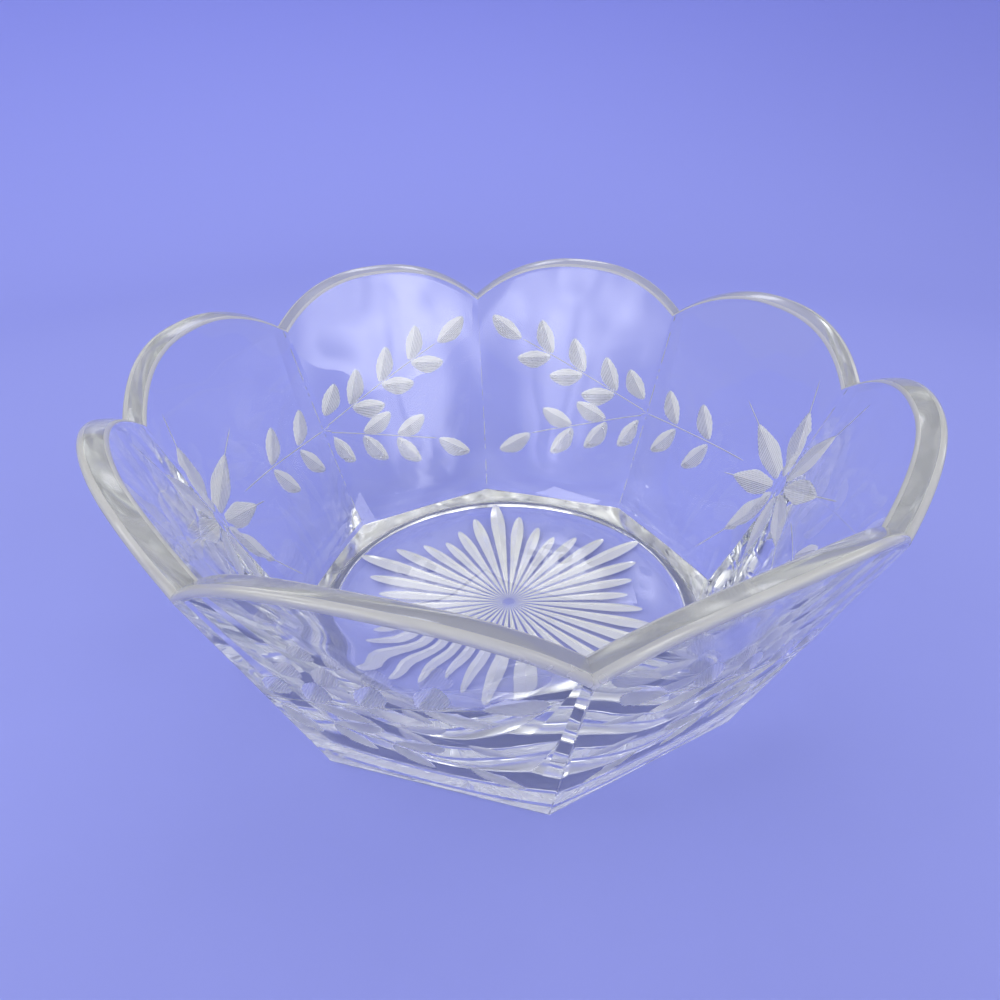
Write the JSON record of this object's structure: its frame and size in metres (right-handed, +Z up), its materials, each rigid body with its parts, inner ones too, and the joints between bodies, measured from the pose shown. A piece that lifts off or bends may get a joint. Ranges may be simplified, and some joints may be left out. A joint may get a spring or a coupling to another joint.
{
  "type": "glass serving bowl",
  "caption": "Octagonal pressed-glass serving bowl with flared panels, an arched rim, engraved leaf sprays and a star cut under the base.",
  "frame": {"origin": "centre of the flat face that the bowl stands on", "axes": "+Z up along the bowl's axis; the octagon's corners lie on the X and Y axes and halfway between them; the flowers are on +X and -X"},
  "size_m": [0.216, 0.216, 0.0923],
  "materials": {
    "glass": "clear pressed glass, fire-polished, with frosted wheel-cut leaves and flowers"
  },
  "bodies": {
    "root": {"bowl": "glass"}
  },
  "joints": []
}
